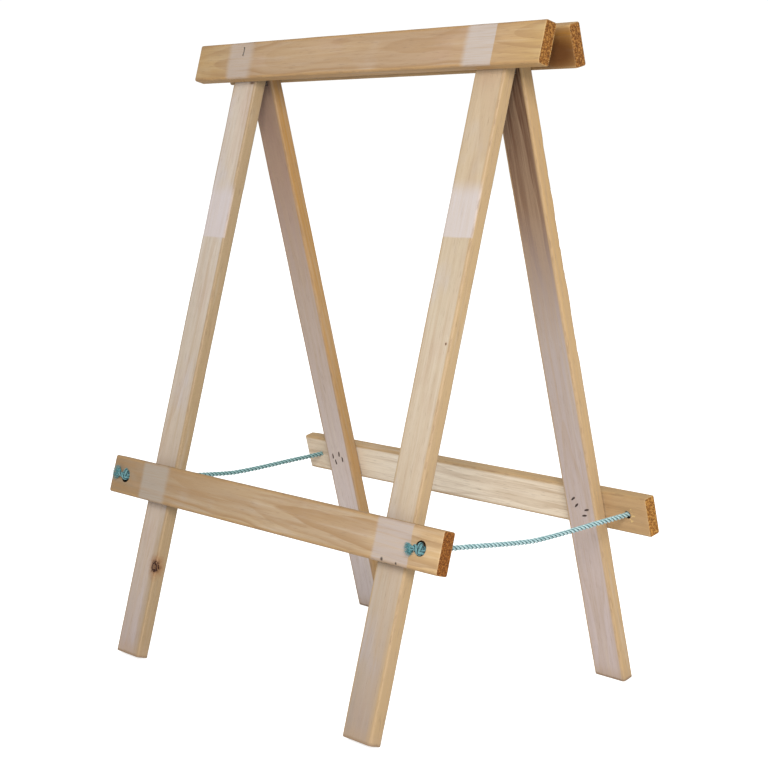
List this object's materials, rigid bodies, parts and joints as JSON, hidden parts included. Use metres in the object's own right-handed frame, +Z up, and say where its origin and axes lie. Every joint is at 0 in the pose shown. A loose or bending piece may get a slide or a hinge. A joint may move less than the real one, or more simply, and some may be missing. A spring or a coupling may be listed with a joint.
{
  "type": "folding wooden trestle",
  "caption": "Folding wooden trestle of two hinged batten A-frames, held open by two knotted rope stays through holes in the bottom rails.",
  "frame": {"origin": "on the floor, under the middle of the ridge", "axes": "+X along the ridge to the right, +Y towards the rear frame, +Z up"},
  "size_m": [0.62, 0.4096, 0.7583],
  "materials": {
    "pine_rail": "planed pine, unfinished, tan",
    "pine_leg": "planed pine, unfinished, paler and pinker",
    "staple_steel": "dull wire",
    "zinc_steel": "zinc plated, satin",
    "rope_fibre": "laid synthetic fibre, teal and white"
  },
  "bodies": {
    "front_frame": {"front_top_rail": "pine_rail", "front_bottom_rail": "pine_rail", "front_leg_left": "pine_leg", "front_leg_right": "pine_leg", "front_top_left_staple_1": "staple_steel", "front_top_left_staple_2": "staple_steel", "front_bottom_left_staple_1": "staple_steel", "front_bottom_left_staple_2": "staple_steel", "front_top_right_staple_1": "staple_steel", "front_top_right_staple_2": "staple_steel", "front_bottom_right_staple_1": "staple_steel", "front_bottom_right_staple_2": "staple_steel", "hinge_left_front_leaf": "zinc_steel", "hinge_left_front_screw_1": "zinc_steel", "hinge_left_front_screw_2": "zinc_steel", "hinge_left_pin": "zinc_steel", "rope_left_front_knot": "rope_fibre", "hinge_right_front_leaf": "zinc_steel", "hinge_right_front_screw_1": "zinc_steel", "hinge_right_front_screw_2": "zinc_steel", "hinge_right_pin": "zinc_steel", "rope_right_front_knot": "rope_fibre"},
    "rear_frame": {"rear_top_rail": "pine_rail", "rear_bottom_rail": "pine_rail", "rear_leg_left": "pine_leg", "rear_leg_right": "pine_leg", "rear_top_left_staple_1": "staple_steel", "rear_top_left_staple_2": "staple_steel", "rear_bottom_left_staple_1": "staple_steel", "rear_bottom_left_staple_2": "staple_steel", "rear_top_right_staple_1": "staple_steel", "rear_top_right_staple_2": "staple_steel", "rear_bottom_right_staple_1": "staple_steel", "rear_bottom_right_staple_2": "staple_steel", "hinge_left_rear_leaf": "zinc_steel", "hinge_left_rear_screw_1": "zinc_steel", "hinge_left_rear_screw_2": "zinc_steel", "rope_left_rear_knot": "rope_fibre", "hinge_right_rear_leaf": "zinc_steel", "hinge_right_rear_screw_1": "zinc_steel", "hinge_right_rear_screw_2": "zinc_steel", "rope_right_rear_knot": "rope_fibre"},
    "rope_left_front_strand": {"rope_left_front_strand": "rope_fibre"},
    "rope_left_front_bow": {"rope_left_front_bow": "rope_fibre"},
    "rope_left_rear_strand": {"rope_left_rear_strand": "rope_fibre"},
    "rope_left_rear_bow": {"rope_left_rear_bow": "rope_fibre"},
    "rope_right_front_strand": {"rope_right_front_strand": "rope_fibre"},
    "rope_right_front_bow": {"rope_right_front_bow": "rope_fibre"},
    "rope_right_rear_strand": {"rope_right_rear_strand": "rope_fibre"},
    "rope_right_rear_bow": {"rope_right_rear_bow": "rope_fibre"}
  },
  "joints": [
    {"name": "fold", "type": "hinge", "parent": "front_frame", "child": "rear_frame", "pos_m": [0, 0, 0.71745], "axis": [-1, 0, 0], "range_deg": [0, 29.3]},
    {"name": "rope_left_front_strand_swing", "type": "hinge", "parent": "front_frame", "child": "rope_left_front_strand", "pos_m": [-0.28, -0.146, 0.2116], "axis": [-1, 0, 0], "range_deg": [0, 101], "deforming": ["rope_left_front_strand"]},
    {"name": "rope_left_front_bow_bend", "type": "hinge", "parent": "rope_left_front_strand", "child": "rope_left_front_bow", "pos_m": [-0.28, -0.0133, 0.2019], "axis": [1, 0, 0], "range_deg": [0, 88], "deforming": ["rope_left_front_bow"]},
    {"name": "rope_left_rear_strand_swing", "type": "hinge", "parent": "rear_frame", "child": "rope_left_rear_strand", "pos_m": [-0.28, 0.146, 0.2116], "axis": [1, 0, 0], "range_deg": [0, 101], "deforming": ["rope_left_rear_strand"]},
    {"name": "rope_left_rear_bow_bend", "type": "hinge", "parent": "rope_left_rear_strand", "child": "rope_left_rear_bow", "pos_m": [-0.28, 0.0133, 0.2019], "axis": [-1, 0, 0], "range_deg": [0, 88], "deforming": ["rope_left_rear_bow"]},
    {"name": "rope_right_front_strand_swing", "type": "hinge", "parent": "front_frame", "child": "rope_right_front_strand", "pos_m": [0.28, -0.146, 0.2116], "axis": [-1, 0, 0], "range_deg": [0, 101], "deforming": ["rope_right_front_strand"]},
    {"name": "rope_right_front_bow_bend", "type": "hinge", "parent": "rope_right_front_strand", "child": "rope_right_front_bow", "pos_m": [0.28, -0.0133, 0.2019], "axis": [1, 0, 0], "range_deg": [0, 88], "deforming": ["rope_right_front_bow"]},
    {"name": "rope_right_rear_strand_swing", "type": "hinge", "parent": "rear_frame", "child": "rope_right_rear_strand", "pos_m": [0.28, 0.146, 0.2116], "axis": [1, 0, 0], "range_deg": [0, 101], "deforming": ["rope_right_rear_strand"]},
    {"name": "rope_right_rear_bow_bend", "type": "hinge", "parent": "rope_right_rear_strand", "child": "rope_right_rear_bow", "pos_m": [0.28, 0.0133, 0.2019], "axis": [-1, 0, 0], "range_deg": [0, 88], "deforming": ["rope_right_rear_bow"]}
  ],
  "couplings": [
    {"joint": "rope_left_front_strand_swing", "follows": "fold", "ratio": 3.429},
    {"joint": "rope_left_front_bow_bend", "follows": "fold", "ratio": 2.988},
    {"joint": "rope_left_rear_strand_swing", "follows": "fold", "ratio": 3.429},
    {"joint": "rope_left_rear_bow_bend", "follows": "fold", "ratio": 2.988},
    {"joint": "rope_right_front_strand_swing", "follows": "fold", "ratio": 3.429},
    {"joint": "rope_right_front_bow_bend", "follows": "fold", "ratio": 2.988},
    {"joint": "rope_right_rear_strand_swing", "follows": "fold", "ratio": 3.429},
    {"joint": "rope_right_rear_bow_bend", "follows": "fold", "ratio": 2.988}
  ]
}
